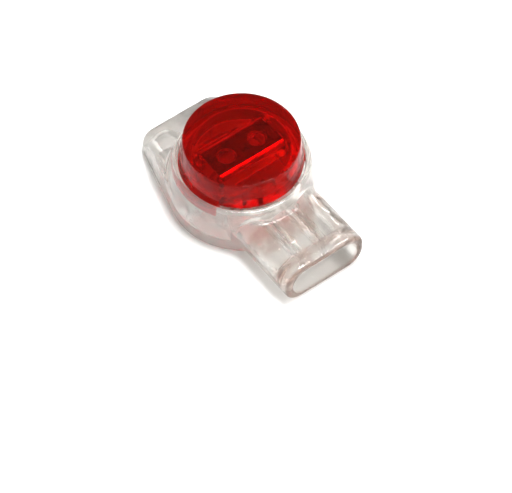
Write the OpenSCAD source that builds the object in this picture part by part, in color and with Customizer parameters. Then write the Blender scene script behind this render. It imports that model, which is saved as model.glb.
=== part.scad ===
// Gel-filled wire splice connector: a clear one-piece housing with a flat entry tube and a
// tapered tail, and a clear-red push button that carries a folded contact and its sealant.
// Origin: on the button's axis, at the underside. +X points out of the entry tube, +Z is up.

/* [Wire ways] */
// Number of wires side by side
wires = 3; // [2, 3]
// Bore for one insulated wire
bore_d = 2.2; // [1.8:0.1:2.6]
// Plastic left between two neighbouring bores
web_t = 0.25; // [0.2:0.05:0.5]
// How far the oval mouth is wider than the bores, above and below
mouth_flare = 0.45; // [0.3:0.05:0.6]
// Depth of the oval mouth before the bores part
mouth_depth = 1.2; // [0.8:0.1:2]
// Length of the cone that leads a wire from the mouth into its bore
lead_in = 0.7; // [0.4:0.1:1]
// How far past the button's axis a wire goes in before it meets its stop
wire_past_axis = 3.75; // [3.2:0.05:3.9]
// How much larger than the bores' radius the open troughs in the wire bed are
trough_flare = 0.2; // [0.18:0.02:0.3]

/* [Entry tube] */
// Distance from the button's axis to the open end of the tube
mouth_x = 12.4; // [11:0.1:15]
// Wall beside the mouth
tube_side_wall = 0.7; // [0.5:0.05:1]
// Wall above and below the mouth
tube_lip_wall = 0.425; // [0.35:0.025:0.6]
// Radius along the tube's long edges
tube_edge_r = 1.6; // [1.2:0.1:1.7]
// Rounding of the lip at the tube's open end
lip_r = 0.3; // [0.15:0.05:0.35]
// Fillet between the tube and the round housing
root_fillet = 0.8; // [0.5:0.05:1]

/* [Round housing] */
// Radius of the housing at its foot
body_r = 6.7; // [6.5:0.1:8.2]
// Height of the rim above the underside
rim_z = 4.95; // [4.1:0.05:6]
// How far the wall leans in between foot and rim
wall_lean = 0.5; // [0.3:0.05:0.7]
// Wall at the rim
rim_wall = 0.5; // [0.4:0.05:0.7]
// Floor under the button's groove
floor_t = 0.7; // [0.5:0.05:0.9]
// Small rounding of the moulded edges
edge_r = 0.2; // [0.1:0.05:0.25]
// Chamfer inside the rim, which leads the button in
rim_lead = 0.12; // [0.05:0.01:0.2]

/* [Tail] */
// Distance from the button's axis to the end of the tail
tail_x = 10; // [9:0.05:12]
// Thickness of the tail at its end
tail_end_h = 1.35; // [1.1:0.05:1.8]
// Thickness of the tail where it meets the housing
tail_root_h = 3.1; // [2.4:0.1:3.6]
// Angle at which each side of the tail runs in
tail_taper = 14.5; // [8:0.5:18]
// Corner radius of the tail
tail_corner_r = 1.85; // [1.2:0.05:2.2]
// Rounding of the tail's top edge
tail_edge_r = 0.25; // [0.2:0.05:0.5]
// Wall round the two pockets under the tail
tail_wall = 0.87; // [0.6:0.01:1.2]
// Corner radius of a pocket, at the end of the tail
pocket_r = 1.4; // [1.2:0.05:1.6]
// Rounding of a pocket's roof
pocket_edge_r = 0.5; // [0.2:0.05:0.55]
// Plastic over the pockets
tail_skin = 0.75; // [0.6:0.05:1]

/* [Button] */
// How far the button stands above the rim before it is pressed home
travel = 2.8; // [2.3:0.1:3.4]
// Radial gap between the button and the housing
button_gap = 0.1; // [0.08:0.01:0.15]
// How far the button's side leans in between rim and top
button_lean = 0.32; // [0.2:0.02:0.5]
// Rounding of the button's top edge
button_edge_r = 0.08; // [0.05:0.01:0.2]
// Wall round the button's cavity
button_wall = 1.15; // [0.9:0.05:1.3]
// Wall of the skirt below the cavity
skirt_t = 0.6; // [0.5:0.05:0.7]
// Gap between each end of the skirt and the bridge over which it stands open
skirt_end_gap = 0.39; // [0.3:0.01:0.5]
// Pins that locate the contact
post_d = 1.7; // [1.2:0.1:1.8]
// Distance between the two pins
post_spacing = 3.36; // [2.4:0.02:3.6]
// How far a pin's head stands out below the contact
post_head_h = 0.35; // [0.2:0.05:0.5]

/* [Contact] */
// Width of the contact across its two blades
contact_w = 3.9; // [3.4:0.1:4.2]
// Thickness of the strip
strip_t = 0.4; // [0.3:0.05:0.45]
// Strip left outside the two outer wires
fork_side = 1.0; // [0.8:0.05:1.1]
// Slot that grips one conductor
slot_w = 0.36; // [0.25:0.01:0.4]
// Width of the cut between two neighbouring forks
relief_w = 0.3; // [0.2:0.05:0.4]

/* [Sealant] */
// How far the sealant reaches below the rim
gel_below_rim = 1; // [0.4:0.1:1.1]

/* [Clearances] */
// Gap between the pressed button's skirt and the floor of its groove
skirt_rest_gap = 0.25; // [0.15:0.05:0.4]
// Gap between the pressed contact and the floor of its slots
tip_gap = 0.15; // [0.1:0.05:0.3]
// Gap between a blade and each side of its slot
blade_gap = 0.15; // [0.1:0.05:0.25]
// Gap between the pressed contact and the thickest wire
wire_gap = 0.03; // [0.02:0.01:0.1]
// Gap between the pressed button and the wire bed
bed_gap = 0.1; // [0.1:0.05:0.2]
// Gap between a pin and its hole in the contact
pin_gap = 0.05; // [0.03:0.01:0.08]
// Gap between the sealant and what it surrounds
gel_gap = 0.02; // [0.01:0.01:0.05]

/* [Hidden] */
$fn = 96;
eps = 0.02;

// Wire ways and tube
bore_r = bore_d / 2;
pitch = bore_d + web_t;
row_w = (wires - 1) * pitch;
mouth_w = row_w + bore_d;
mouth_h = bore_d + 2 * mouth_flare;
tube_w = mouth_w + 2 * tube_side_wall;
tube_h = mouth_h + 2 * tube_lip_wall;
wire_z = tube_h / 2;
bore_end_x = mouth_x - mouth_depth - lead_in;
wire_y = [for (i = [0 : wires - 1]) i * pitch - row_w / 2];

// Housing and button, from the outside in
rim_r = body_r - wall_lean;
well_r = rim_r - rim_wall;
button_r = well_r - button_gap;
top_z = rim_z + travel;
top_r = button_r - button_lean;
cavity_r = button_r - button_wall;
skirt_in_r = button_r - skirt_t;
skirt_z = floor_t + skirt_rest_gap + travel;
bed_r = skirt_in_r - blade_gap;
bed_top = rim_z - travel - bed_gap;
bridge_w = mouth_w + tube_side_wall;
skirt_open_y = bridge_w / 2 + skirt_end_gap;
skirt_open_x = sqrt(max(eps, pow(skirt_in_r, 2) - pow(skirt_open_y, 2)));
bore_start_x = sqrt(pow(well_r, 2) - pow(mouth_w / 2, 2)) - 0.05;

// Contact and its slots
strip_under = wire_z + bore_r + wire_gap + travel;
strip_top = strip_under + strip_t;
blade_floor = 0.3;
blade_z = blade_floor + tip_gap + travel;
contact_l = row_w + 2 * fork_side;
blade_x = contact_w / 2 - strip_t;
bend_r = strip_t + 0.15;
post_end = strip_under - post_head_h;
gel_z = rim_z - gel_below_rim;

// Tail outline
tail_rim = body_r - 0.05;
tail_cx = tail_x - tail_corner_r;
tail_cy = (tail_rim - tail_corner_r - sin(tail_taper) * tail_cx) / cos(tail_taper);
tail_top_x = body_r - 0.45;

// Points on an arc about [cx, cy], from angle a to angle b in n steps
function arc(cx, cy, r, a, b, n = 8) =
    [for (i = [0 : n]) [cx + r * cos(a + (b - a) * i / n), cy + r * sin(a + (b - a) * i / n)]];

// Point on the tail's side line at distance x behind the axis, set in by r
function tail_side(x, r) =
    [-x, (tail_rim - r - sin(tail_taper) * x) / cos(tail_taper)];

module rounded_rect(w, h, r) {
    square([w - 2 * r, h], center = true);
    square([w, h - 2 * r], center = true);
    for (sx = [-1, 1], sy = [-1, 1])
        translate([sx * (w / 2 - r), sy * (h / 2 - r)]) circle(r);
}

// Lays a 2D shape, drawn as [y, z], across the tube and runs it along +X
module along_x(x, length) {
    translate([x, 0, 0]) rotate([90, 0, 90]) linear_extrude(length) children();
}

// Outer wall of the housing: a shallow barrel curve from foot to rim
bulge_z = 0.9;
barrel_r = (pow(rim_z - bulge_z, 2) + pow(wall_lean, 2)) / (2 * wall_lean);
function wall_at(z) = body_r - barrel_r + sqrt(pow(barrel_r, 2) - pow(max(z, bulge_z) - bulge_z, 2));

module housing_drum() {
    a_rim = asin((rim_z - edge_r - bulge_z) / barrel_r);
    rotate_extrude() polygon(concat(
        [[0, 0]],
        arc(body_r - edge_r - 0.05, edge_r, edge_r, -90, 0, 4),
        arc(body_r - barrel_r, bulge_z, barrel_r, 0, a_rim, 7),
        arc(rim_r - edge_r, rim_z - edge_r, edge_r, 10, 90, 4),
        [[0, rim_z]]
    ));
}

// Slices of a rounded bar that get smaller towards its open end, which rounds the lip
module tube_bar() {
    steps = 5;
    hull() {
        along_x(0, mouth_x - lip_r) translate([0, wire_z])
            rounded_rect(tube_w, tube_h, tube_edge_r, $fn = 40);
        for (i = [1 : steps]) {
            a = 90 * i / steps;
            inset = lip_r * (1 - cos(a));
            along_x(mouth_x - lip_r, lip_r * sin(a)) translate([0, wire_z])
                rounded_rect(tube_w - 2 * inset, tube_h - 2 * inset, tube_edge_r - inset, $fn = 40);
        }
    }
}

// Points [y, z, direction outwards] round the tube, from low on one flank, over the top, to low
// on the other flank
function tube_path() = let (
    r = tube_edge_r,
    cy = tube_w / 2 - r,
    high = tube_h - r,
    flank = concat(
        [for (a = [-70 : 10 : -10]) [cy + r * cos(a), r + r * sin(a), a]],
        [for (i = [0 : 2]) [tube_w / 2, r + (high - r) * i / 2, 0]],
        [for (a = [10 : 10 : 90]) [cy + r * cos(a), high + r * sin(a), a]]
    ),
    top = [for (i = [1 : 9]) [cy * (1 - i / 5), tube_h, 90]],
    last = len(flank) - 1
) concat(flank, top, [for (i = [last : -1 : 0]) [-flank[i][0], flank[i][1], 180 - flank[i][2]]]);

// Fillet radius at a point of the path. It gets smaller where the rim or the underside is near.
function fillet_at(p) = let (
    up = sin(p[2]),
    room = up > 0.01 ? (rim_z - edge_r - p[1]) / up : up < -0.01 ? -p[1] / up : root_fillet
) max(eps, min(root_fillet, room));

// Point off the tube's path, at a in front of the housing's wall and b off the tube
function off_root(p, a, b) = let (y = p[0] + b * cos(p[2]), z = p[1] + b * sin(p[2]))
    [sqrt(pow(wall_at(z), 2) - pow(y, 2)) + a, y, z];

// Concave fillet where the tube leaves the housing: an arc swept along the tube's path. Its ends
// bite a little into both walls, so that no two surfaces only touch.
module root_blend() {
    bite = 0.03;
    steps = 6;
    path = tube_path();
    m = steps + 2;
    n = len(path);
    points = [for (p = path) let (f = fillet_at(p) + bite) each concat(
        [for (i = [0 : steps]) let (t = 90 * i / steps)
            off_root(p, f * (1 - sin(t)) - bite, f * (1 - cos(t)) - bite)],
        [off_root(p, -0.5, -0.3)]
    )];
    polyhedron(points, concat(
        [for (i = [0 : n - 2], j = [0 : m - 1]) let (a = i * m + j, b = i * m + (j + 1) % m)
            each [[a, b + m, b], [a, a + m, b + m]]],
        [for (j = [0 : m - 3]) [m - 1, j, j + 1]],
        [for (j = [0 : m - 3]) let (e = (n - 1) * m) [e + m - 1, e + j + 1, e + j]]
    ), convexity = 6);
}

// Round post with a rounded top edge, standing on z
module tail_post(p, r, z, h, e) {
    translate([p[0], p[1], z]) rotate_extrude($fn = 32)
        polygon(concat([[0, 0], [r, 0]], arc(r - e, h - e, e, 0, 90, 5), [[0, h]]));
}

// Wedge-shaped tail: two hulls over rounded posts, a sloped one and a level one
module tail_wedge() {
    post_r = 0.6;
    slope = tail_side(tail_top_x - post_r, post_r);
    root = tail_side(tail_rim * sin(tail_taper), post_r);
    hull() for (s = [-1, 1]) {
        tail_post([-tail_cx, s * tail_cy], tail_corner_r, 0, tail_end_h, tail_edge_r);
        tail_post([slope[0], s * slope[1]], post_r, 0, tail_root_h, tail_edge_r);
    }
    hull() for (s = [-1, 1]) {
        tail_post([slope[0], s * slope[1]], post_r, 0, tail_root_h, tail_edge_r);
        tail_post([root[0], s * root[1]], post_r, 0, tail_root_h, tail_edge_r);
    }
}

// Two pockets under the tail, open at the underside, with a rib between them. Each has a round
// end, follows the tail's side and slope, and stops at the housing.
module tail_pockets() {
    r = pocket_r;
    end_x = tail_x - tail_wall - r;
    end_y = tail_side(end_x, tail_wall + r)[1];
    root_x = tail_top_x - r;
    root_y = tail_side(root_x, tail_wall + r)[1];
    roof_end = tail_end_h - tail_skin + 0.3;
    roof_root = tail_root_h - tail_skin;
    difference() {
        for (s = [-1, 1]) hull() {
            tail_post([-end_x, s * end_y], r, -1, roof_end + 1, pocket_edge_r);
            tail_post([-root_x, s * root_y], r, -1, roof_root + 1, pocket_edge_r);
            tail_post([-root_x, s * end_y], r, -1, roof_root + 1, pocket_edge_r);
        }
        translate([0, 0, -2]) cylinder(r = body_r, h = tail_root_h + 4);
    }
}

// Oval mouth, lead-in cones and bores, and open troughs in the wire bed that lie level with
// the bottom of the bores
module wire_ways() {
    along_x(mouth_x - mouth_depth, mouth_depth + 1) translate([0, wire_z])
        rounded_rect(mouth_w + eps, mouth_h, mouth_h / 2 - eps);
    for (y = wire_y) translate([0, y, wire_z]) rotate([0, 90, 0]) {
        translate([-trough_flare, 0, -wire_past_axis])
            cylinder(r = bore_r + trough_flare, h = bore_start_x + wire_past_axis);
        translate([0, 0, bore_start_x]) cylinder(r = bore_r, h = bore_end_x - bore_start_x + eps);
        translate([0, 0, bore_end_x]) cylinder(r1 = bore_r, r2 = mouth_h / 2, h = lead_in + eps);
    }
}

// Round well for the button: open above the wire bed, deep where the skirt goes down
module button_well() {
    translate([0, 0, bed_top]) cylinder(r = well_r, h = rim_z);
    translate([0, 0, rim_z - rim_lead])
        cylinder(r1 = well_r, r2 = well_r + 2 * rim_lead, h = 2 * rim_lead);
    difference() {
        translate([0, 0, floor_t]) cylinder(r = well_r, h = rim_z);
        translate([0, 0, -1]) cylinder(r = bed_r, h = rim_z + 2);
        translate([0, -bridge_w / 2, -1]) cube([body_r, bridge_w, rim_z + 2]);
    }
}

// Slots in the wire bed that the blades go down into
module blade_slots() {
    for (s = [-1, 1])
        translate([s * (blade_x + strip_t / 2), 0, blade_floor + rim_z / 2])
            cube([strip_t + 2 * blade_gap, contact_l + 2 * blade_gap, rim_z], center = true);
}

module base() color([0.86, 0.84, 0.82, 0.45]) difference() {
    union() {
        housing_drum();
        tube_bar();
        tail_wedge();
        root_blend();
    }
    button_well();
    wire_ways();
    blade_slots();
    tail_pockets();
}

// Button body: tapered disc with a cavity below, and a skirt that is open towards the wires
module cap() color([0.8, 0.03, 0.02, 0.6]) {
    union() {
        rotate_extrude() difference() {
            polygon(concat(
                [[0, rim_z], [button_r, rim_z]],
                arc(top_r - button_edge_r, top_z - button_edge_r, button_edge_r, 4, 90, 5),
                [[0, top_z]]
            ));
            translate([0, rim_z - 1]) square([cavity_r, strip_top - rim_z + 1]);
        }
        difference() {
            translate([0, 0, skirt_z]) cylinder(r = button_r, h = rim_z - skirt_z + eps);
            translate([0, 0, skirt_z - 1]) cylinder(r = skirt_in_r, h = rim_z + 2);
            skirt_opening();
        }
        for (s = [-1, 1]) translate([0, s * post_spacing / 2, 0]) {
            translate([0, 0, strip_under - pin_gap])
                cylinder(d = post_d, h = strip_top - strip_under + pin_gap + eps);
            translate([0, 0, post_end])
                cylinder(d1 = post_d - 0.3, d2 = post_d, h = post_head_h - pin_gap);
        }
    }
}

// Wedge-shaped opening towards the wires. Its two sides run out from the axis and meet the
// inside of the skirt clear of the bridge.
module skirt_opening() {
    far = 2 * body_r / skirt_in_r;
    x = far * skirt_open_x;
    y = far * skirt_open_y;
    translate([0, 0, skirt_z - 1]) linear_extrude(rim_z - skirt_z + 3)
        polygon([[0, 0], [x, -y], [x + far * body_r, -y], [x + far * body_r, y], [x, y]]);
}

// Contact: one strip folded into a channel, each leg cut into forks that grip the conductors
module contact() color([0.75, 0.73, 0.68]) difference() {
    rotate([90, 0, 0]) linear_extrude(contact_l, center = true) channel_section();
    for (s = [-1, 1]) translate([0, s * post_spacing / 2, strip_under - 1])
        cylinder(d = post_d + 2 * pin_gap, h = strip_t + 2);
    translate([-contact_w, 0, 0]) rotate([90, 0, 90]) linear_extrude(2 * contact_w) {
        for (y = wire_y) translate([y, 0]) fork_slot();
        for (i = [1 : wires - 1]) translate([i * pitch - row_w / 2 - pitch / 2, 0]) relief_cut();
        for (s = [-1, 1]) scale([s, 1]) blade_corner();
    }
}

// Inverted U in [x, z]: web above, one blade on each side, rounded at the bends. It can be
// grown on all sides, for the space that the sealant leaves.
module channel_section(grow = 0) {
    bend_x = contact_w / 2 - bend_r;
    bend_z = strip_top - bend_r;
    w = contact_w / 2 + grow;
    inner = blade_x - grow;
    foot_z = blade_z - grow;
    difference() {
        union() {
            translate([-w, foot_z]) square([2 * w, bend_z - foot_z]);
            translate([-bend_x, foot_z]) square([2 * bend_x, strip_top + grow - foot_z]);
            for (s = [-1, 1]) translate([s * bend_x, bend_z]) circle(bend_r + grow);
        }
        translate([-inner, foot_z - 1]) square([2 * inner, bend_z - foot_z + 1]);
        translate([-bend_x, foot_z - 1]) square([2 * bend_x, strip_under - grow - foot_z + 1]);
        for (s = [-1, 1]) translate([s * bend_x, bend_z]) circle(bend_r - strip_t - grow);
    }
}

// Slot for one conductor in [y, z]: a funnel between the tips, then a narrow round-ended slot
module fork_slot() {
    funnel_w = 1.1;
    funnel_h = 0.55;
    slot_top = strip_under - 0.55;
    polygon([
        [-funnel_w / 2, blade_z - 1],
        [-funnel_w / 2, blade_z],
        [-slot_w / 2, blade_z + funnel_h],
        [slot_w / 2, blade_z + funnel_h],
        [funnel_w / 2, blade_z],
        [funnel_w / 2, blade_z - 1]
    ]);
    translate([-slot_w / 2, blade_z]) square([slot_w, slot_top - blade_z]);
    translate([0, slot_top]) circle(slot_w / 2);
}

// Pointed cut between two neighbouring forks in [y, z]
module relief_cut() {
    cut_h = 1.2;
    polygon([
        [-relief_w / 2, blade_z - 1],
        [-relief_w / 2, blade_z + cut_h],
        [0, blade_z + cut_h + relief_w / 2],
        [relief_w / 2, blade_z + cut_h],
        [relief_w / 2, blade_z - 1]
    ]);
}

// Cuts the outer corner of a blade's tip at an angle
module blade_corner() {
    cut = 0.4;
    y = contact_l / 2;
    polygon([
        [y - cut, blade_z - 1],
        [y - cut, blade_z],
        [y, blade_z + cut],
        [y + 1, blade_z + cut],
        [y + 1, blade_z - 1]
    ]);
}

// Sealant that fills the button's cavity, inside and outside the folded contact
module sealant() color([0.85, 0.83, 0.75, 0.6]) {
    top = strip_top - gel_gap;
    difference() {
        translate([0, 0, gel_z]) cylinder(r = cavity_r - gel_gap, h = top - gel_z);
        rotate([90, 0, 0]) linear_extrude(contact_l + 2 * gel_gap, center = true)
            channel_section(gel_gap);
        for (s = [-1, 1]) translate([0, s * post_spacing / 2, post_end - gel_gap])
            cylinder(d = post_d + 2 * gel_gap, h = top - post_end + 1);
    }
}

base();
cap();
contact();
sealant();
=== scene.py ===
"""Looks for a gel-filled wire splice connector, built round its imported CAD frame.

The clear housing, the red button, the folded contact and the sealant each get their own class,
and each finish its own dataclass. Lengths are in metres. +X points out of the entry tube and +Z
is up, as in the frame.
"""

import logging
import math
from collections.abc import Callable
from dataclasses import dataclass, field
from enum import Enum

import bpy
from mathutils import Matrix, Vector


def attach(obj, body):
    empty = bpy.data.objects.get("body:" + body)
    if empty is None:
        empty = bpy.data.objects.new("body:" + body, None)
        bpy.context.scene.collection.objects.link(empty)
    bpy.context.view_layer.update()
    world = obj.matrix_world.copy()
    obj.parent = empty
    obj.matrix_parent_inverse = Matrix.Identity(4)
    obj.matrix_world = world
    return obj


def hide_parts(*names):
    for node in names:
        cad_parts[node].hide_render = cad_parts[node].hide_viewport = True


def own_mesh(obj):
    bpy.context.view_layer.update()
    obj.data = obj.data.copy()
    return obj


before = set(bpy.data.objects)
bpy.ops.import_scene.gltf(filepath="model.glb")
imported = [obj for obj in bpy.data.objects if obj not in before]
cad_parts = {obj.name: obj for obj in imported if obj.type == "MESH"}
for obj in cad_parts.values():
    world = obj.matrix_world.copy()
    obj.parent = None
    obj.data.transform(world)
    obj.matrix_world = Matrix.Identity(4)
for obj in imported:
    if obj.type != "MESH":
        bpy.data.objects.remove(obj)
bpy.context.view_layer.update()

LOG = logging.getLogger("splice_connector")
MM = 0.001

# Distance within which the corners of a CAD node's loose triangles are one corner
WELD = 0.001 * MM

# Share of the way to its neighbours' middle that a vertex moves in one pass of smoothing
EASE = 0.5

Socket = bpy.types.NodeSocket
Colour = tuple[float, float, float, float]
Triple = tuple[float, float, float]
Band = tuple[float, float]


class Body(Enum):
    """The two moving parts of the frame that a piece can ride on."""

    HOUSING = "housing"
    BUTTON = "button"


class Slot(Enum):
    """Names of the materials."""

    CLEAR = "clear_plastic"
    RED = "red_plastic"
    TIN = "tinned_strip"
    GEL = "sealing_gel"


# Helpers for node trees


@dataclass
class Tree:
    """A node tree with short calls for adding and joining nodes."""

    tree: bpy.types.NodeTree

    def add(self, kind: str, **values: object) -> bpy.types.Node:
        """Adds a node and sets its properties.

        Args:
            kind: Blender's identifier of the node.
            values: Properties of the node by name.

        Returns:
            The new node.
        """
        node = self.tree.nodes.new(kind)
        for name, value in values.items():
            setattr(node, name, value)
        return node

    def find(self, kind: str) -> bpy.types.Node:
        """Gives the first node of a type that the tree already holds."""
        return next(n for n in self.tree.nodes if n.type == kind)

    def join(self, source: Socket, target: Socket) -> None:
        """Links an output to an input."""
        self.tree.links.new(source, target)

    def feed(self, value: object, target: Socket) -> None:
        """Links an output to an input, or sets a plain value on it.

        Args:
            value: An output socket, or a value that the input can hold.
            target: The input socket.
        """
        if isinstance(value, Socket):
            self.join(value, target)
        else:
            target.default_value = value

    def maths(self, operation: str, *values: object) -> Socket:
        """Adds a Math node, or a row of them that takes in one more value each.

        Args:
            operation: Name of the operation.
            values: Sockets or numbers, or one socket alone where the operation takes one.

        Returns:
            The last node's output socket.
        """
        result = values[0]
        for value in values[1:] or (None,):
            node = self.add("ShaderNodeMath", operation=operation)
            self.feed(result, node.inputs[0])
            if value is not None:
                self.feed(value, node.inputs[1])
            result = node.outputs[0]
        return result

    def step(
        self,
        value: Socket,
        low: object,
        high: object,
        start: float = 0.0,
        kind: str = "SMOOTHSTEP",
    ) -> Socket:
        """Adds a Map Range node that goes from start at low to 1 at high.

        Args:
            value: The socket to map.
            low: A socket or a number where the result is start.
            high: A socket or a number where the result is 1.
            start: The result at low and past it.
            kind: Blender's name of the interpolation.

        Returns:
            The node's output socket.
        """
        node = self.add("ShaderNodeMapRange", interpolation_type=kind)
        self.feed(low, node.inputs["From Min"])
        self.feed(high, node.inputs["From Max"])
        node.inputs["To Min"].default_value = start
        self.join(value, node.inputs["Value"])
        return node.outputs["Result"]

    def noise(
        self, place: Socket, scale: object, detail: float, roughness: float = 0.5
    ) -> Socket:
        """Adds a Noise Texture node.

        Args:
            place: The coordinates.
            scale: A socket or a number.
            detail: Number of finer layers.
            roughness: How much the finer layers count.

        Returns:
            The socket of the noise's value.
        """
        node = self.add("ShaderNodeTexNoise")
        node.inputs["Detail"].default_value = detail
        node.inputs["Roughness"].default_value = roughness
        self.join(place, node.inputs["Vector"])
        self.feed(scale, node.inputs["Scale"])
        return node.outputs["Fac"]

    def stretched(self, place: Socket, scale: Triple, turn: Triple = (0.0, 0.0, 0.0)) -> Socket:
        """Adds a Mapping node.

        Args:
            place: The coordinates.
            scale: Factor on each axis.
            turn: Turn about each axis in radians.

        Returns:
            The socket of the changed coordinates.
        """
        node = self.add("ShaderNodeMapping")
        node.inputs["Rotation"].default_value = turn
        node.inputs["Scale"].default_value = scale
        self.join(place, node.inputs["Vector"])
        return node.outputs["Vector"]

    def axes(self, place: Socket) -> tuple[Socket, Socket, Socket]:
        """Splits a vector.

        Args:
            place: The vector.

        Returns:
            The sockets of its X, Y and Z.
        """
        node = self.add("ShaderNodeSeparateXYZ")
        self.join(place, node.inputs["Vector"])
        return node.outputs["X"], node.outputs["Y"], node.outputs["Z"]

    def mix(self, first: object, second: object, factor: Socket) -> Socket:
        """Adds a Mix node for colours.

        Args:
            first: A socket or a colour, where the factor is 0.
            second: A socket or a colour, where the factor is 1.
            factor: The share of the second colour.

        Returns:
            The socket of the mixed colour.
        """
        node = self.add("ShaderNodeMix", data_type="RGBA")
        self.feed(first, node.inputs["A"])
        self.feed(second, node.inputs["B"])
        self.join(factor, node.inputs["Factor"])
        return node.outputs["Result"]

    def bump(self, height: Socket, strength: float, distance: float) -> Socket:
        """Adds a Bump node.

        Args:
            height: The height from 0 to 1.
            strength: Share of the effect.
            distance: Real height in metres where height is 1.

        Returns:
            The socket of the normal.
        """
        node = self.add("ShaderNodeBump")
        node.inputs["Strength"].default_value = strength
        node.inputs["Distance"].default_value = distance
        self.join(height, node.inputs["Height"])
        return node.outputs["Normal"]

    def effect(
        self, group: bpy.types.NodeTree, place: Socket, values: dict[str, object] | None = None
    ) -> bpy.types.NodeOutputs:
        """Adds a shared node group.

        Args:
            group: The group.
            place: The coordinates.
            values: Values of its inputs by name, where they differ from its own.

        Returns:
            The group's outputs, by name.
        """
        node = self.add("ShaderNodeGroup", node_tree=group)
        self.join(place, node.inputs["Vector"])
        for name, value in (values or {}).items():
            node.inputs[name].default_value = value
        return node.outputs


def new_group(
    name: str, inputs: dict[str, float | Triple], outputs: tuple[str, ...]
) -> tuple[Tree, bpy.types.NodeOutputs, bpy.types.NodeInputs]:
    """Starts a shader node group that reads coordinates and puts out plain values.

    Args:
        name: Name of the group.
        inputs: Default value of each input, by name: a number, or three for a vector.
        outputs: Name of each output.

    Returns:
        The tree, what the group is given, and where its results go, both by name.
    """
    group = bpy.data.node_groups.new(name, "ShaderNodeTree")
    group.interface.new_socket("Vector", in_out="INPUT", socket_type="NodeSocketVector")
    for key, value in inputs.items():
        kind = "NodeSocketVector" if isinstance(value, tuple) else "NodeSocketFloat"
        socket = group.interface.new_socket(key, in_out="INPUT", socket_type=kind)
        socket.default_value = value
    for key in outputs:
        group.interface.new_socket(key, in_out="OUTPUT", socket_type="NodeSocketFloat")
    tree = Tree(group)
    return tree, tree.add("NodeGroupInput").outputs, tree.add("NodeGroupOutput").inputs


@dataclass(frozen=True)
class MouldedSkin:
    """Group for a moulded surface: slow waves of shrinkage and a faint polish grain."""

    name: str = "moulded_skin"
    wave_detail: float = 1.5
    wave_roughness: float = 0.4
    grain_detail: float = 3.0

    def build(self) -> bpy.types.NodeTree:
        """Builds the group.

        Returns:
            The node group, with the outputs Height and Haze.
        """
        tree, given, result = new_group(
            self.name,
            {"Wave Scale": 300.0, "Grain Scale": 6000.0, "Grain Share": 0.1},
            ("Height", "Haze"),
        )
        place = given["Vector"]
        wave = tree.noise(place, given["Wave Scale"], self.wave_detail, self.wave_roughness)
        grain = tree.noise(place, given["Grain Scale"], self.grain_detail)
        share = tree.maths("MULTIPLY", grain, given["Grain Share"])
        tree.join(tree.maths("ADD", wave, share), result["Height"])
        tree.join(grain, result["Haze"])
        return tree.tree


@dataclass(frozen=True)
class HandlingWear:
    """Group for what handling leaves: fine crossed scratches and specks of dust.

    Each row of scratches is a turn about each axis and how thin its lines are drawn out.
    """

    name: str = "handling_wear"
    rows: tuple[tuple[Triple, float], ...] = (((0.15, 0.2, 0.5), 26.0), ((0.6, 0.2, 2.0), 34.0))
    scratch_detail: float = 2.0
    scratch_band: Band = (0.66, 0.74)
    dust_band: Band = (0.12, 0.04)

    def build(self) -> bpy.types.NodeTree:
        """Builds the group.

        Returns:
            The node group, with the outputs Scratch and Dust.
        """
        tree, given, result = new_group(
            self.name, {"Scratch Scale": 500.0, "Dust Scale": 1500.0}, ("Scratch", "Dust")
        )
        lines = []
        for turn, thin in self.rows:
            place = tree.stretched(given["Vector"], (1.0, thin, thin), turn)
            noise = tree.noise(place, given["Scratch Scale"], self.scratch_detail)
            lines.append(tree.step(noise, *self.scratch_band, kind="LINEAR"))
        tree.join(tree.maths("MAXIMUM", *lines), result["Scratch"])
        specks = tree.add("ShaderNodeTexVoronoi")
        tree.join(given["Vector"], specks.inputs["Vector"])
        tree.join(given["Dust Scale"], specks.inputs["Scale"])
        near = tree.step(specks.outputs["Distance"], *self.dust_band, kind="LINEAR")
        tree.join(near, result["Dust"])
        return tree.tree


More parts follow.
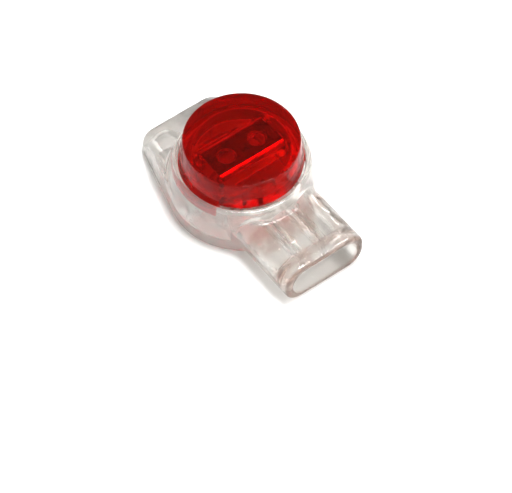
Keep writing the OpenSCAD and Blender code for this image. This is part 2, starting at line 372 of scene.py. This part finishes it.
@dataclass(frozen=True)
class FlowMarksAndShade:
    """Group for streaks of the melt and random blotches, and for masks of painted shade: dark
    bands at the lip and the root crease, blotches on the tube top, shade over the tail and the
    tube's far side, and a dark outline round the mouth's edge.

    A band gives the two shares of a width, height or radius between which a mask goes from
    0 to 1.
    """

    name: str = "flow_marks_and_shade"
    streak_detail: float = 2.0
    blotch_detail: float = 3.0
    blotch_band: Band = (0.4, 0.62)
    patch_share: float = 0.4
    fade: Band = (1.0, 0.2)
    outer_skin: Band = (1.0, 1.12)
    edge_shade_band: Band = (0.9, 0.98)
    under_skin: Band = (0.12, 0.04)
    upper_half: Band = (0.5, 1.0)
    tube_start: Band = (0.94, 1.04)
    tube_share: float = 0.8
    far_side: Band = (0.6, 1.3)
    far_share: float = 0.6
    near_tail: float = 0.55

    def build(self) -> bpy.types.NodeTree:
        """Builds the group.

        Returns:
            The node group, with the outputs Streak and Under, and Painted Shade, Tail and Edge,
            which are masks of painted shade.
        """
        tree, given, result = new_group(
            self.name,
            {
                "Streak Scale": 2500.0,
                "Streak Stretch": (0.1, 1.0, 1.0),
                "Blotch Scale": 550.0,
                "Lip Place": 11.2 * MM,
                "Lip Width": 0.9 * MM,
                "Root Place": 7.1 * MM,
                "Root Width": 1.2 * MM,
                "Edge Place": 12.4 * MM,
                "Edge Width": 0.4 * MM,
                "Tail Place": -10.5 * MM,
                "Tail Width": 6.0 * MM,
                "Tail Near": -1.5 * MM,
                "Tail Far": 1.5 * MM,
                "Mouth Height": 1.975 * MM,
                "Mouth Half": 2.0 * MM,
                "Mouth Radius": 1.65 * MM,
            },
            ("Streak", "Painted Shade", "Tail", "Edge", "Under"),
        )
        stretch = tree.add("ShaderNodeVectorMath", operation="MULTIPLY")
        tree.join(given["Vector"], stretch.inputs[0])
        tree.join(given["Streak Stretch"], stretch.inputs[1])
        streak = tree.noise(stretch.outputs["Vector"], given["Streak Scale"], self.streak_detail)
        tree.join(streak, result["Streak"])
        cloud = tree.noise(given["Vector"], given["Blotch Scale"], self.blotch_detail)
        blotch = tree.step(cloud, *self.blotch_band)
        patchy = tree.maths("MULTIPLY", blotch, self.patch_share)
        patchy = tree.maths("ADD", patchy, 1.0 - self.patch_share)

        x, y, z = tree.axes(given["Vector"])
        bands = {}
        for place in ("Lip", "Root", "Edge", "Tail"):
            offset = tree.maths("ABSOLUTE", tree.maths("SUBTRACT", x, given[f"{place} Place"]))
            share = tree.maths("DIVIDE", offset, given[f"{place} Width"])
            bands[place] = tree.step(share, *self.fade)
        level = tree.maths("DIVIDE", z, given["Mouth Height"])
        tube = tree.step(tree.maths("DIVIDE", x, given["Root Place"]), *self.tube_start)
        off = self.off_mouth(tree, given, y, z)
        outside = tree.step(off, *self.outer_skin)

        # Painted shade: a dark band at the lip and at the root crease, and blotches on the tube
        # top, on the upper outside only.
        shade_mask = tree.maths("MULTIPLY", tree.maths("MAXIMUM", bands["Lip"], bands["Root"]), patchy)
        tube_shade = tree.maths("MULTIPLY", tube, blotch, self.tube_share)
        shade_mask = tree.maths("MAXIMUM", shade_mask, tube_shade)
        upper = tree.step(level, *self.upper_half)
        tree.join(tree.maths("MULTIPLY", shade_mask, outside, upper), result["Painted Shade"])

        # Painted shade: a dark outline round the inner edge of the mouth, on its end face.
        edge = tree.step(off, *self.edge_shade_band)
        tree.join(tree.maths("MULTIPLY", bands["Edge"], edge), result["Edge"])
        tree.join(tree.step(level, *self.under_skin), result["Under"])

        # Painted shade over the tail, lighter on its near side, and along the far side of the
        # tube.
        across = tree.step(y, given["Tail Near"], given["Tail Far"], start=self.near_tail)
        tail = tree.maths("MULTIPLY", bands["Tail"], patchy, across)
        far = tree.step(tree.maths("DIVIDE", y, given["Mouth Half"]), *self.far_side)
        far = tree.maths("MULTIPLY", far, tube, outside, self.far_share)
        tree.join(tree.maths("MAXIMUM", tail, far), result["Tail"])
        return tree.tree

    def off_mouth(
        self, tree: Tree, given: bpy.types.NodeOutputs, y: Socket, z: Socket
    ) -> Socket:
        """Measures how far a place lies from the middle line of the oval mouth.

        Args:
            tree: The group's tree.
            given: What the group is given.
            y: The place across the tube.
            z: The place above the underside.

        Returns:
            The socket of the distance, as a share of the mouth's radius.
        """
        rise = tree.maths("ABSOLUTE", tree.maths("SUBTRACT", z, given["Mouth Height"]))
        reach = tree.maths("SUBTRACT", tree.maths("ABSOLUTE", y), given["Mouth Half"])
        reach = tree.maths("MAXIMUM", reach, 0.0)
        squares = [tree.maths("POWER", side, 2.0) for side in (rise, reach)]
        distance = tree.maths("SQRT", tree.maths("ADD", *squares))
        return tree.maths("DIVIDE", distance, given["Mouth Radius"])


@dataclass
class Effects:
    """The node groups that several finishes share."""

    skin: bpy.types.NodeTree = field(default_factory=lambda: MouldedSkin().build())
    wear: bpy.types.NodeTree = field(default_factory=lambda: HandlingWear().build())
    flow: bpy.types.NodeTree = field(default_factory=lambda: FlowMarksAndShade().build())


# Finishes


def start_material(name: str) -> tuple[bpy.types.Material, Tree, bpy.types.Node, Socket]:
    """Starts a material that reads Object coordinates.

    Args:
        name: Name of the material.

    Returns:
        The material, its tree, its Principled shader and the coordinate socket.
    """
    material = bpy.data.materials.new(name)
    material.use_nodes = True
    tree = Tree(material.node_tree)
    place = tree.add("ShaderNodeTexCoord").outputs["Object"]
    return material, tree, tree.find("BSDF_PRINCIPLED"), place


@dataclass(frozen=True)
class ClearMoulding:
    """A transparent moulded plastic, clear or tinted through its thickness.

    A tint of None is the same as the main tint. The painted shade, tail shade and mouth edge
    shade tints are darker tones painted where the plastic looks shaded.
    """

    name: str
    tint: Colour
    clarity: float
    ior: float
    roughness: float
    haze: float
    absorb: Colour
    density: float
    wave_scale: float
    wave_height: float
    streak_share: float
    streak_stretch: Triple
    painted_shade_tint: Colour | None = None
    tail_shade_tint: Colour | None = None
    mouth_edge_shade_tint: Colour | None = None
    ripple: float = 0.0
    frost: float = 0.0
    cloudy: float = 0.96
    scratch: float = 0.08
    dust: float = 0.1

    def build(self, effects: Effects) -> bpy.types.Material:
        """Builds the material.

        Args:
            effects: Shared node groups.

        Returns:
            The material.
        """
        material, tree, shader, place = start_material(self.name)
        shader.inputs["Transmission Weight"].default_value = self.clarity
        shader.inputs["IOR"].default_value = self.ior
        skin = tree.effect(effects.skin, place, {"Wave Scale": self.wave_scale})
        wear = tree.effect(effects.wear, place)
        flow = tree.effect(effects.flow, place, {"Streak Stretch": self.streak_stretch})

        dimmer = tuple(self.cloudy * c for c in self.tint[:3]) + (1.0,)
        tone = tree.mix(self.tint, dimmer, skin["Haze"])
        # Painted shade: darker tones mixed in at the lip, the root crease and the tube top, over
        # the tail and the tube's far side, and round the mouth's edge.
        tone = tree.mix(tone, self.painted_shade_tint or self.tint, flow["Painted Shade"])
        # Painted shade over the tail and the tube's far side.
        tone = tree.mix(tone, self.tail_shade_tint or self.tint, flow["Tail"])
        # Painted shade: a dark outline round the mouth's edge.
        tone = tree.mix(tone, self.mouth_edge_shade_tint or self.tint, flow["Edge"])
        tree.join(tone, shader.inputs["Base Color"])

        haze = tree.maths("MULTIPLY", skin["Haze"], self.haze)
        scratch = tree.maths("MULTIPLY", wear["Scratch"], self.scratch)
        dust = tree.maths("MULTIPLY", wear["Dust"], self.dust)
        under = tree.maths("MULTIPLY", flow["Under"], self.frost)
        rough = tree.maths("ADD", haze, scratch, dust, self.roughness, under)
        tree.join(rough, shader.inputs["Roughness"])

        ripple = tree.maths("ADD", flow["Tail"], flow["Painted Shade"])
        ripple = tree.maths("ADD", tree.maths("MULTIPLY", ripple, self.ripple), 1.0)
        waves = tree.maths("MULTIPLY", skin["Height"], ripple)
        streak = tree.maths("MULTIPLY", flow["Streak"], self.streak_share)
        normal = tree.bump(tree.maths("ADD", waves, streak), 1.0, self.wave_height)
        tree.join(normal, shader.inputs["Normal"])

        volume = tree.add("ShaderNodeVolumeAbsorption")
        volume.inputs["Color"].default_value = self.absorb
        volume.inputs["Density"].default_value = self.density
        tree.join(volume.outputs["Volume"], tree.find("OUTPUT_MATERIAL").inputs["Volume"])
        return material


@dataclass(frozen=True)
class TinnedStrip:
    """Stamped strip with bright tin plating: rolled streaks, stains, and duller bends."""

    name: str = Slot.TIN.value
    bright: Colour = (0.86, 0.83, 0.79, 1.0)
    dull: Colour = (0.4, 0.37, 0.34, 1.0)
    streak_stretch: Triple = (1.0, 0.08, 1.0)
    streak_scale: float = 6000.0
    streak_share: float = 0.6
    stain_scale: float = 1400.0
    stain_band: Band = (0.4, 0.7)
    detail: float = 3.0
    flat_z: float = 6.28 * MM
    bend_fade: float = 0.05 * MM
    roughness: float = 0.04
    streak_rough: float = 0.2
    bend_rough: float = 0.12
    scratch_rough: float = 0.15
    bump_strength: float = 0.6
    bump_height: float = 0.004 * MM

    def build(self, effects: Effects) -> bpy.types.Material:
        """Builds the material.

        Args:
            effects: Shared node groups.

        Returns:
            The material.
        """
        material, tree, shader, place = start_material(self.name)
        shader.inputs["Metallic"].default_value = 1.0
        along = tree.stretched(place, self.streak_stretch)
        streak = tree.noise(along, self.streak_scale, self.detail)
        cloud = tree.noise(place, self.stain_scale, self.detail)
        stain = tree.step(cloud, *self.stain_band)
        share = tree.maths("MAXIMUM", tree.maths("MULTIPLY", streak, self.streak_share), stain)
        tree.join(tree.mix(self.bright, self.dull, share), shader.inputs["Base Color"])

        wear = tree.effect(effects.wear, place)
        _, _, z = tree.axes(place)
        bent = tree.step(z, self.flat_z, self.flat_z - self.bend_fade)
        rough = tree.maths(
            "ADD",
            self.roughness,
            tree.maths("MULTIPLY", streak, self.streak_rough),
            tree.maths("MULTIPLY", bent, self.bend_rough),
            tree.maths("MULTIPLY", wear["Scratch"], self.scratch_rough),
        )
        tree.join(rough, shader.inputs["Roughness"])
        normal = tree.bump(streak, self.bump_strength, self.bump_height)
        tree.join(normal, shader.inputs["Normal"])
        return material


@dataclass(frozen=True)
class PaleFloor:
    """Plain white table top."""

    name: str = "pale_floor"
    colour: Colour = (0.9, 0.9, 0.9, 1.0)
    roughness: float = 0.9
    specular: float = 0.1

    def build(self) -> bpy.types.Material:
        """Builds the material.

        Returns:
            The material.
        """
        material, _, shader, _ = start_material(self.name)
        shader.inputs["Base Color"].default_value = self.colour
        shader.inputs["Roughness"].default_value = self.roughness
        shader.inputs["Specular IOR Level"].default_value = self.specular
        return material


CLEAR_PLASTIC = ClearMoulding(
    name=Slot.CLEAR.value,
    tint=(0.985, 0.983, 0.968, 1.0),
    # Painted shade: darker tones for the lip, root crease and tube top, for the tail and the
    # tube's far side, and for the mouth's edge.
    painted_shade_tint=(0.64, 0.49, 0.43, 1.0),
    tail_shade_tint=(0.3, 0.28, 0.26, 1.0),
    mouth_edge_shade_tint=(0.4, 0.27, 0.22, 1.0),
    clarity=0.85,
    ior=1.42,
    roughness=0.05,
    haze=0.05,
    absorb=(0.93, 0.85, 0.7, 1.0),
    density=60.0,
    wave_scale=600.0,
    wave_height=0.055 * MM,
    streak_share=0.1,
    streak_stretch=(0.08, 1.0, 1.0),
    ripple=2.5,
    frost=0.5,
)
RED_PLASTIC = ClearMoulding(
    name=Slot.RED.value,
    tint=(0.8, 0.042, 0.033, 1.0),
    clarity=0.95,
    ior=1.17,
    roughness=0.04,
    haze=0.05,
    absorb=(0.96, 0.3, 0.02, 1.0),
    density=2700.0,
    wave_scale=300.0,
    wave_height=0.01 * MM,
    streak_share=0.3,
    streak_stretch=(1.0, 1.0, 0.08),
)
SEALING_GEL = ClearMoulding(
    name=Slot.GEL.value,
    tint=(0.99, 0.985, 0.97, 1.0),
    clarity=1.0,
    ior=1.25,
    roughness=0.08,
    haze=0.1,
    absorb=(0.9, 0.87, 0.75, 1.0),
    density=150.0,
    wave_scale=700.0,
    wave_height=0.05 * MM,
    streak_share=0.0,
    streak_stretch=(1.0, 1.0, 1.0),
)


# Mesh helpers


def select_only(obj: bpy.types.Object) -> None:
    """Deselects everything, then selects one object and makes it active.

    Args:
        obj: The object.
    """
    bpy.ops.object.select_all(action="DESELECT")
    obj.select_set(True)
    bpy.context.view_layer.objects.active = obj


def apply_modifier(obj: bpy.types.Object, kind: str, **values: object) -> None:
    """Adds a modifier to an object, sets its values and applies it.

    Args:
        obj: The object.
        kind: Type of the modifier.
        values: Properties of the modifier by name.
    """
    select_only(obj)
    modifier = obj.modifiers.new(kind.lower(), kind)
    for name, value in values.items():
        setattr(modifier, name, value)
    bpy.ops.object.modifier_apply(modifier=modifier.name)


def copy_of_node(node: str, name: str) -> bpy.types.Object:
    """Copies a CAD node into a new object and merges its loose triangles.

    Args:
        node: Name of the CAD node.
        name: Name of the new piece.

    Returns:
        The new object, with no parent.
    """
    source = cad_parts[node]
    copy = bpy.data.objects.new(name, source.data.copy())
    bpy.context.scene.collection.objects.link(copy)
    copy.data.materials.clear()
    select_only(copy)
    bpy.ops.object.mode_set(mode="EDIT")
    bpy.ops.mesh.select_all(action="SELECT")
    bpy.ops.mesh.remove_doubles(threshold=WELD)
    bpy.ops.mesh.customdata_custom_splitnormals_clear()
    bpy.ops.object.mode_set(mode="OBJECT")
    return copy


def mark(obj: bpy.types.Object, name: str, weight: Callable[[Vector], float]) -> str:
    """Makes a vertex group whose weights follow the place of each vertex.

    Args:
        obj: The mesh object.
        name: Name of the group.
        weight: Gives the weight from 0 to 1 at a place.

    Returns:
        The group's name, for a modifier.
    """
    group = obj.vertex_groups.new(name=name)
    for vertex in obj.data.vertices:
        value = weight(vertex.co)
        if value > 0.0:
            group.add((vertex.index,), value, "REPLACE")
    return group.name


def smooth_step(value: float, low: float, high: float) -> float:
    """Rises smoothly from 0 at low to 1 at high."""
    share = min(1.0, max(0.0, (value - low) / (high - low)))
    return share * share * (3.0 - 2.0 * share)


def triangles(obj: bpy.types.Object) -> int:
    """Counts the triangles of a mesh object."""
    return sum(len(p.vertices) - 2 for p in obj.data.polygons)


# Pieces


@dataclass
class Moulding:
    """A moulded piece that follows a CAD node, with the soft edges of a real moulding."""

    node: str
    name: str
    body: Body
    slot: Slot
    voxel: float
    smoothing: int
    limit: int = 190_000

    def build(self) -> bpy.types.Object:
        """Remeshes a copy of the node and softens its edges.

        Returns:
            The finished mesh object.
        """
        piece = copy_of_node(self.node, self.name)
        self.even(piece)
        self.cut(piece)
        apply_modifier(piece, "SMOOTH", factor=EASE, iterations=self.smoothing)
        self.shape(piece)
        count = triangles(piece)
        if count > self.limit:
            apply_modifier(piece, "DECIMATE", ratio=self.limit / count)
        select_only(piece)
        bpy.ops.object.shade_smooth()
        return piece

    def even(self, piece: bpy.types.Object) -> None:
        """Remeshes the piece into small even faces."""
        apply_modifier(piece, "REMESH", mode="VOXEL", voxel_size=self.voxel, adaptivity=0.0)

    def cut(self, piece: bpy.types.Object) -> None:
        """Cuts the remeshed piece; a plain moulding needs nothing here."""

    def shape(self, piece: bpy.types.Object) -> None:
        """Changes the fine mesh; a plain moulding needs nothing here."""

    def dress(self, piece: bpy.types.Object, material: bpy.types.Material) -> None:
        """Gives the piece its material and its place in the frame.

        Args:
            piece: The piece.
            material: Its finish.
        """
        piece.data.materials.clear()
        piece.data.materials.append(material)
        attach(piece, self.body.value)
        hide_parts(self.node)
        LOG.info("%s: %d triangles", piece.name, triangles(piece))


@dataclass
class Housing(Moulding):
    """The clear housing, with one clear pocket for a mouth and a soft hollow beside the tail."""

    node: str = "base"
    name: str = "clear_housing"
    body: Body = Body.HOUSING
    slot: Slot = Slot.CLEAR
    voxel: float = 0.08 * MM
    smoothing: int = 2
    drum_r: float = 6.55 * MM
    hollow: float = 0.55 * MM
    hollow_core: float = 0.35
    hollow_x: float = -2.5 * MM
    hollow_z: Band = (1.0 * MM, 3.9 * MM)
    hollow_passes: int = 45
    pocket_x: Band = (-9.4 * MM, -5.6 * MM)
    pocket_y: float = 3.4 * MM
    pocket_from: float = 0.25 * MM
    pocket_skin: float = 0.3 * MM
    pocket_passes: int = 60
    tail_x: float = 10.0 * MM
    tail_end_h: float = 1.35 * MM
    tail_slope: float = 0.52
    mouth_x: float = 12.4 * MM
    mouth_depth: float = 1.9 * MM
    mouth_half: float = 2.0 * MM
    mouth_r: float = 1.54 * MM
    mouth_sides: int = 96
    wire_z: float = 1.975 * MM

    def cut(self, piece: bpy.types.Object) -> None:
        """Opens the oval mouth as one clear pocket, as deep as the cones, and evens its mesh.

        Args:
            piece: The remeshed housing.
        """
        length = 2.0 * self.mouth_depth
        turn = (0.0, math.radians(90), 0.0)
        for side in (-1.0, 0.0, 1.0):
            place = (self.mouth_x, side * self.mouth_half, self.wire_z)
            if side:
                bpy.ops.mesh.primitive_cylinder_add(
                    vertices=self.mouth_sides,
                    radius=self.mouth_r,
                    depth=length,
                    location=place,
                    rotation=turn,
                )
            else:
                bpy.ops.mesh.primitive_cube_add(size=1.0, location=place)
                size = (length, 2.0 * self.mouth_half, 2.0 * self.mouth_r)
                bpy.context.active_object.scale = size
            cutter = bpy.context.active_object
            apply_modifier(
                piece, "BOOLEAN", operation="DIFFERENCE", solver="MANIFOLD", object=cutter
            )
            bpy.data.objects.remove(cutter)
        self.even(piece)

    def near_junction(self, place: Vector) -> float:
        """Weights the places near the line where the tail meets the drum.

        Args:
            place: A vertex's place.

        Returns:
            The weight from 0 to 1.
        """
        low, high = self.hollow_z
        if place.x > self.hollow_x or not low < place.z < high:
            return 0.0
        off = abs(math.hypot(place.x, place.y) - self.drum_r)
        return 1.0 - smooth_step(off, self.hollow_core * self.hollow, self.hollow)

    def in_pocket(self, place: Vector) -> float:
        """Weights the walls and roofs of the pockets under the tail.

        Args:
            place: A vertex's place.

        Returns:
            The weight, 0 or 1.
        """
        end, root = self.pocket_x
        if not end < place.x < root or abs(place.y) > self.pocket_y:
            return 0.0
        top = self.tail_end_h + (place.x + self.tail_x) * self.tail_slope
        return 1.0 if self.pocket_from < place.z < top - self.pocket_skin else 0.0

    def shape(self, piece: bpy.types.Object) -> None:
        """Smooths the junction of tail and drum into a concave fillet, and softens the pockets.

        Args:
            piece: The fine mesh of the housing.
        """
        for name, weight, passes in (
            ("junction", self.near_junction, self.hollow_passes),
            ("pocket", self.in_pocket, self.pocket_passes),
        ):
            group = mark(piece, name, weight)
            apply_modifier(piece, "SMOOTH", factor=EASE, iterations=passes, vertex_group=group)


@dataclass
class Button(Moulding):
    """The red button, whose skirt presses against the wall of its well below the rim."""

    node: str = "cap"
    name: str = "red_button"
    body: Body = Body.BUTTON
    slot: Slot = Slot.RED
    voxel: float = 0.07 * MM
    smoothing: int = 1
    seat_r: float = 5.73 * MM
    seat_from: float = 5.1 * MM
    seat_to: float = 5.5 * MM
    seat_top: float = 4.6 * MM
    roof_z: float = 6.305 * MM
    roof_reach: Band = (2.05 * MM, 3.55 * MM)
    roof_bite: float = 0.04 * MM

    def on_contact(self, place: Vector) -> float:
        """Weights the cavity's roof where the contact's web lies against it.

        Args:
            place: A vertex's place.

        Returns:
            The weight, 0 or 1.
        """
        level = abs(place.z - self.roof_z) < self.roof_bite
        over = abs(place.x) < self.roof_reach[0] and abs(place.y) < self.roof_reach[1]
        return 1.0 if level and over else 0.0

    def in_seat(self, place: Vector) -> float:
        """Weights the outer side of the skirt, below the rim.

        Args:
            place: A vertex's place.

        Returns:
            The weight from 0 to 1.
        """
        if place.z > self.seat_top:
            return 0.0
        return smooth_step(math.hypot(place.x, place.y), self.seat_from, self.seat_to)

    def shape(self, piece: bpy.types.Object) -> None:
        """Seats the skirt's outer side against the well, and the cavity's roof on the web.

        Args:
            piece: The fine mesh of the button.
        """
        group = mark(piece, "roof", self.on_contact)
        apply_modifier(
            piece,
            "DISPLACE",
            direction="Z",
            mid_level=0.0,
            strength=-self.roof_bite,
            vertex_group=group,
        )
        group = mark(piece, "seat", self.in_seat)
        apply_modifier(
            piece,
            "CAST",
            cast_type="CYLINDER",
            factor=1.0,
            radius=0.0,
            size=self.seat_r,
            use_radius_as_size=False,
            use_z=False,
            vertex_group=group,
        )


@dataclass
class Sealant(Moulding):
    """The gel round the contact, which gets lower when the button goes down."""

    node: str = "sealant"
    name: str = "sealing_gel_fill"
    body: Body = Body.BUTTON
    slot: Slot = Slot.GEL
    voxel: float = 0.12 * MM
    smoothing: int = 2

    def dress(self, piece: bpy.types.Object, material: bpy.types.Material) -> None:
        """Dresses the gel as a moulding, and gives it a mesh of its own."""
        super().dress(piece, material)
        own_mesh(piece)


@dataclass
class FoldedContact:
    """The folded strip, whose CAD node is fine enough to show as it is."""

    node: str = "contact"

    def dress(self, material: bpy.types.Material) -> None:
        """Gives the node its material.

        Args:
            material: Its finish.
        """
        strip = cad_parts[self.node]
        strip.data.materials.clear()
        strip.data.materials.append(material)
        LOG.info("%s: %d triangles", strip.name, triangles(strip))


# Stage


@dataclass(frozen=True)
class SoftLight:
    """A square soft light that faces the object.

    The side and the distance are in metres and the power is in watts.
    """

    name: str
    toward: Triple
    side: float
    power: float
    away: float = 0.4

    def build(self) -> None:
        """Adds the light to the scene."""
        data = bpy.data.lights.new(self.name, "AREA")
        data.shape = "SQUARE"
        data.size = self.side
        data.energy = self.power
        light = bpy.data.objects.new(self.name, data)
        direction = Vector(self.toward).normalized()
        light.location = direction * self.away
        light.rotation_euler = (-direction).to_track_quat("-Z", "Y").to_euler()
        bpy.context.scene.collection.objects.link(light)


@dataclass
class Studio:
    """Pale floor, soft lights and the camera at the photograph's angle."""

    azimuth: float = math.radians(53.7)
    elevation: float = math.radians(52.9)
    distance: float = 300 * MM
    lens: float = 233.5
    sensor: float = 36.0
    nearest: float = 10 * MM
    look_right: float = 1.247 * MM
    look_up: float = -4.941 * MM
    floor_size: float = 4.0
    floor_gap: float = 0.03 * MM
    wall_colour: Colour = (1.46, 1.41, 1.32, 1.0)
    ceiling_colour: Colour = (0.46, 0.45, 0.43, 1.0)
    wall_edge: Band = (0.15, 0.6)
    panel_colour: Colour = (0.03, 0.03, 0.03, 1.0)
    panel_toward: Triple = (-0.4861, 0.3571, 0.7976)
    panel_edge: Band = (0.74, 0.92)
    lights: tuple[SoftLight, ...] = (
        SoftLight("key", (-0.06, 0.2, 0.95), side=0.13, power=1.7),
        SoftLight("side", (0.55, 0.36, 0.74), side=0.3, power=1.15),
        SoftLight("rim", (-0.5, 0.6, 0.6), side=0.03, power=0.2),
    )

    def axes(self) -> tuple[Vector, Vector, Vector]:
        """Gives the camera's axes.

        Returns:
            Unit vectors to the right, up, and back from the scene to the camera.
        """
        sin_a, cos_a = math.sin(self.azimuth), math.cos(self.azimuth)
        sin_e, cos_e = math.sin(self.elevation), math.cos(self.elevation)
        right = Vector((cos_a, sin_a, 0))
        back = Vector((sin_a * cos_e, -cos_a * cos_e, sin_e))
        return right, back.cross(right), back

    def place_camera(self) -> None:
        """Makes the camera and sets it as the scene's own."""
        right, up, back = self.axes()
        target = right * self.look_right + up * self.look_up
        data = bpy.data.cameras.new("camera")
        data.lens = self.lens
        data.sensor_width = self.sensor
        data.clip_start = self.nearest
        camera = bpy.data.objects.new("camera", data)
        camera.location = back * self.distance
        camera.rotation_euler = (target - camera.location).to_track_quat("-Z", "Y").to_euler()
        bpy.context.scene.collection.objects.link(camera)
        bpy.context.scene.camera = camera

    def room(self) -> None:
        """Makes a room with pale walls, a dimmer ceiling and one dark panel high up behind."""
        world = bpy.data.worlds.new("soft_room")
        world.use_nodes = True
        tree = Tree(world.node_tree)
        toward = tree.add("ShaderNodeTexCoord").outputs["Generated"]
        _, _, z = tree.axes(toward)
        height = tree.step(z, *self.wall_edge)
        room = tree.mix(self.wall_colour, self.ceiling_colour, height)
        turn = tree.add("ShaderNodeVectorMath", operation="DOT_PRODUCT")
        turn.inputs[1].default_value = Vector(self.panel_toward).normalized()
        tree.join(toward, turn.inputs[0])
        panel = tree.step(turn.outputs["Value"], *self.panel_edge)
        tone = tree.mix(room, self.panel_colour, panel)
        tree.join(tone, tree.find("BACKGROUND").inputs["Color"])
        bpy.context.scene.world = world

    def build(self) -> None:
        """Builds floor, lights, world and camera."""
        bpy.ops.object.select_all(action="DESELECT")
        bpy.ops.mesh.primitive_plane_add(size=self.floor_size, location=(0, 0, -self.floor_gap))
        floor = bpy.context.active_object
        floor.name = "floor"
        floor.data.materials.append(PaleFloor().build())

        self.room()
        for light in self.lights:
            light.build()
        bpy.context.scene.view_settings.view_transform = "Standard"
        self.place_camera()


def main() -> None:
    """Builds each piece and the studio."""
    logging.basicConfig(level=logging.INFO, format="%(name)s: %(message)s")
    effects = Effects()
    for moulding, finish in (
        (Housing(), CLEAR_PLASTIC),
        (Button(), RED_PLASTIC),
        (Sealant(), SEALING_GEL),
    ):
        moulding.dress(moulding.build(), finish.build(effects))
    FoldedContact().dress(TinnedStrip().build(effects))

    Studio().build()


if __name__ == "__main__":
    main()
